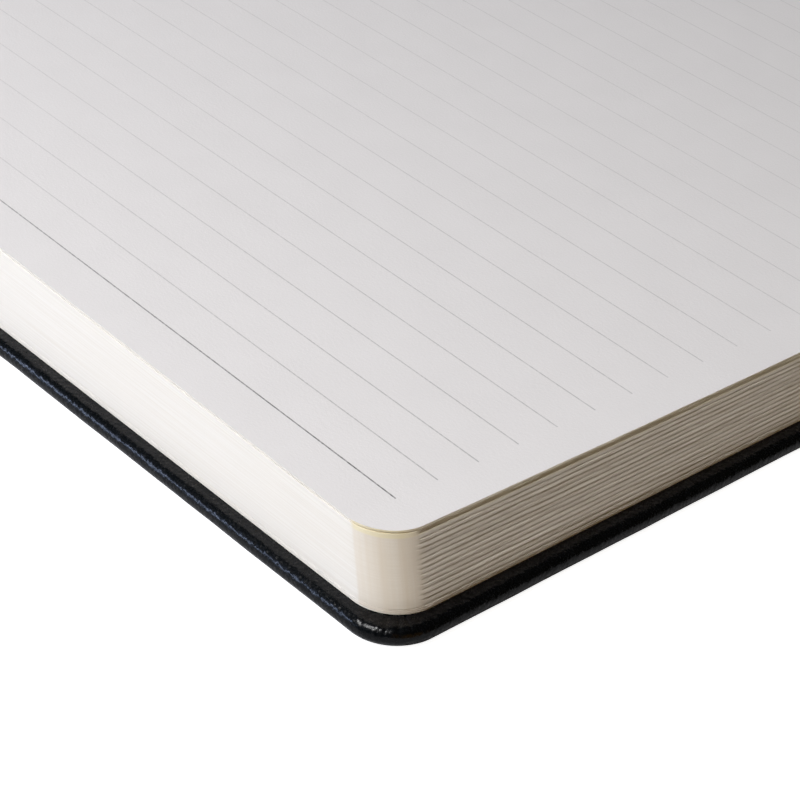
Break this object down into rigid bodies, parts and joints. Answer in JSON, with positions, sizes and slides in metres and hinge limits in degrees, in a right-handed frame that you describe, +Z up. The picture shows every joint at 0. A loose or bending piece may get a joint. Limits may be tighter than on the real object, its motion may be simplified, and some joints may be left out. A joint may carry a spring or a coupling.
{
  "type": "hardcover notebook",
  "caption": "Hardcover notebook lying open at its first ruled page: the sewn block of pages rests on the back cover, and the front cover is swung open beside it.",
  "frame": {"origin": "centre of the back cover's outer face, which lies on the table", "axes": "+X from the spine to the pages' fore edge, +Y from the foot of the page to its head, +Z up from the table"},
  "size_m": [0.3016, 0.2142, 0.0204],
  "materials": {
    "page_paper": "uncoated off-white writing paper with thin grey rules",
    "endpaper": "plain uncoated ivory paper",
    "card": "grey binder's board",
    "leatherette": "black imitation leather with a fine pressed grain",
    "lining_cloth": "open white lining cloth"
  },
  "bodies": {
    "back_cover": {"back_board": "card", "back_covering": "leatherette", "back_pastedown": "endpaper"},
    "book_block": {"text_block": "page_paper", "spine_lining": "lining_cloth", "back_flyleaf": "endpaper", "spine_strip": "card", "spine_covering": "leatherette"},
    "front_cover": {"front_board": "card", "front_covering": "leatherette", "front_pastedown": "endpaper", "front_flyleaf": "endpaper"}
  },
  "joints": [
    {"name": "back_hinge", "type": "hinge", "parent": "back_cover", "child": "book_block", "pos_m": [-0.0784, 0, 0.00013], "axis": [0, -1, 0], "range_deg": [0, 175]},
    {"name": "front_hinge", "type": "hinge", "parent": "book_block", "child": "front_cover", "pos_m": [-0.08184, 0, 0.01866], "axis": [0, 1, 0], "range_deg": [0, 188.5]}
  ]
}
